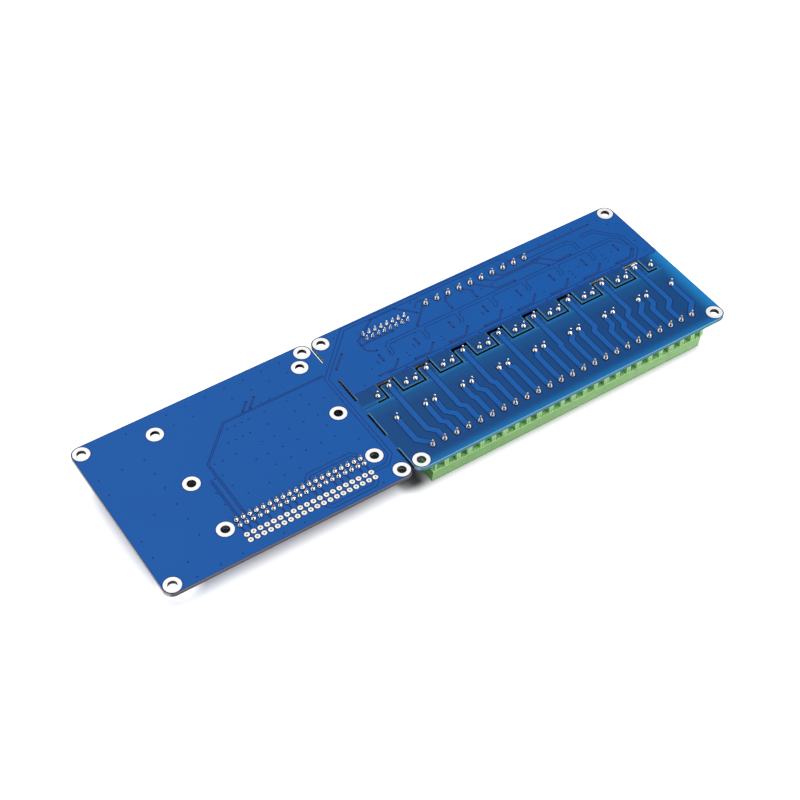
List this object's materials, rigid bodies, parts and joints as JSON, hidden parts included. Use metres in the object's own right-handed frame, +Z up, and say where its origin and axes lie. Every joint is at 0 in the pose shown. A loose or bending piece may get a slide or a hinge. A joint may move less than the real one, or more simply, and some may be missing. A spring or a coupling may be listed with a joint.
{
  "type": "relay module board",
  "caption": "Long circuit panel in two tabbed halves: a carrier for a small computer and a relay half with cube relays and screw terminals, lying solder side up.",
  "frame": {"origin": "on the floor below the middle of the panel", "axes": "+X along the panel from the carrier half to the relay half, +Y from the relay terminals to the input terminals, +Z up, towards the solder side"},
  "size_m": [0.2326, 0.072, 0.0198],
  "materials": {
    "solder_mask": "blue solder mask over glass laminate",
    "tinned_land": "tinned copper",
    "masked_copper": "copper under blue solder mask",
    "terminal_green": "moulded green plastic",
    "plated_clamp": "tin-plated brass",
    "plated_screw": "zinc-plated steel",
    "solder": "solder round a tinned pin",
    "black_plastic": "black moulded plastic",
    "yellow_cap": "moulded plastic cap",
    "gold_pin": "gold-flashed pin",
    "white_chip": "moulded white package",
    "tinned_lead": "tinned lead",
    "black_chip": "moulded black package",
    "lamp_lens": "tinted lens on a white base",
    "relay_case": "blue moulded case"
  },
  "bodies": {
    "root": {"circuit_board": "solder_mask", "coupler_leads": "tinned_lead", "couplers": "white_chip", "flyback_diodes": "black_chip", "hole_lands": "tinned_land", "input_pin_joints": "solder", "input_resistors": "black_chip", "input_terminal_blocks": "terminal_green", "input_terminal_clamps": "plated_clamp", "input_terminal_screws": "plated_screw", "jumper_base": "black_plastic", "jumper_caps": "yellow_cap", "jumper_pin_joints": "solder", "jumper_pins": "gold_pin", "lamp_resistors": "black_chip", "power_traces": "masked_copper", "relay_1": "relay_case", "relay_2": "relay_case", "relay_3": "relay_case", "relay_4": "relay_case", "relay_5": "relay_case", "relay_6": "relay_case", "relay_7": "relay_case", "relay_8": "relay_case", "relay_pin_joints": "solder", "relay_terminal_blocks": "terminal_green", "relay_terminal_clamps": "plated_clamp", "relay_terminal_screws": "plated_screw", "socket_contacts": "gold_pin", "socket_housing": "black_plastic", "socket_pin_joints": "solder", "status_lamps": "lamp_lens", "terminal_pin_joints": "solder", "transistors": "black_chip"}
  },
  "joints": []
}
